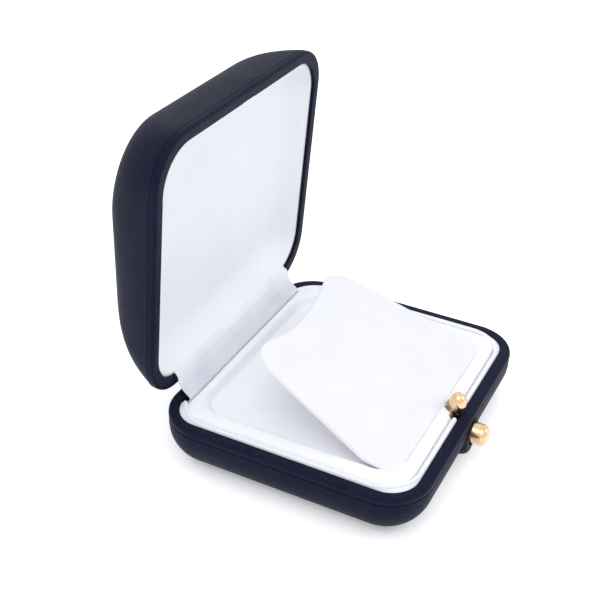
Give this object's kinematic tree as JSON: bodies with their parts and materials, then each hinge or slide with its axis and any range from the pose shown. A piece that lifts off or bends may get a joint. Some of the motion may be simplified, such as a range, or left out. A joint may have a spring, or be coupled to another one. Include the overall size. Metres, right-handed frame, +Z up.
{
  "type": "jewelry case",
  "caption": "Leather-covered jewelry case with a domed lid on a rear hinge, a padded insert with a lift-up display flap, and a push-button ball clasp.",
  "frame": {"origin": "centre of the flat underside that the case stands on", "axes": "X along the hinge, clasp towards -Y, hinge at +Y, Z up; the lid is stored standing open"},
  "size_m": [0.09, 0.0983, 0.0988],
  "materials": {
    "leather": "fine-grained navy leatherette",
    "satin": "white satin",
    "velvet": "white velvet",
    "gold": "polished gold plate",
    "steel": "plain",
    "wood": "unfinished light wood",
    "card": "grey board",
    "wadding": "soft wadding"
  },
  "bodies": {
    "base": {"base_core": "wood", "base_cover": "leather", "base_rim_band": "leather", "base_foot": "leather", "base_collar": "satin", "pad_foam": "wadding", "pad_board": "card", "insert_pad": "velvet", "flap_tape": "velvet", "button_ferrule": "gold", "clasp_boss": "leather", "clasp_bracket": "steel", "clasp_screws": "steel", "hook_pin": "steel", "hook_spring": "steel", "hinge_leaf_base": "gold", "hinge_screws_base": "gold", "hinge_pin": "gold", "hinge_ribbon": "satin"},
    "lid": {"lid_core": "wood", "lid_padding": "wadding", "lid_cover": "leather", "lid_rim_band": "leather", "lid_lining": "satin", "lid_board": "card", "hinge_leaf_lid": "gold", "hinge_screws_lid": "gold", "catch_plate": "gold"},
    "flap": {"flap_board": "card", "flap_cover": "velvet"},
    "button": {"button_cap": "gold", "button_rod": "gold"},
    "hook": {"hook_lever": "gold", "hook_ball": "gold"}
  },
  "joints": [
    {"name": "lid_hinge", "type": "hinge", "parent": "base", "child": "lid", "pos_m": [0, 0.0411, 0.0184], "axis": [1, 0, 0], "range_deg": [0, 85.8], "deforming": ["hinge_ribbon"]},
    {"name": "flap_hinge", "type": "hinge", "parent": "base", "child": "flap", "pos_m": [0, -0.0283, 0.0164], "axis": [1, 0, 0], "range_deg": [-21, 0]},
    {"name": "button_slide", "type": "slide", "parent": "base", "child": "button", "axis": [0, 1, 0], "range_m": [0, 0.00045], "stiffness_N_per_m": 400, "springref_m": -0.0004},
    {"name": "hook_pivot", "type": "hinge", "parent": "base", "child": "hook", "pos_m": [0, -0.0332, 0.0056], "axis": [-1, 0, 0], "range_deg": [0, 5.8], "deforming": ["hook_spring"]}
  ],
  "couplings": [
    {"joint": "flap_hinge", "follows": "lid_hinge", "ratio": -0.24476},
    {"joint": "hook_pivot", "follows": "button_slide", "rad_per_m": 222.22}
  ]
}
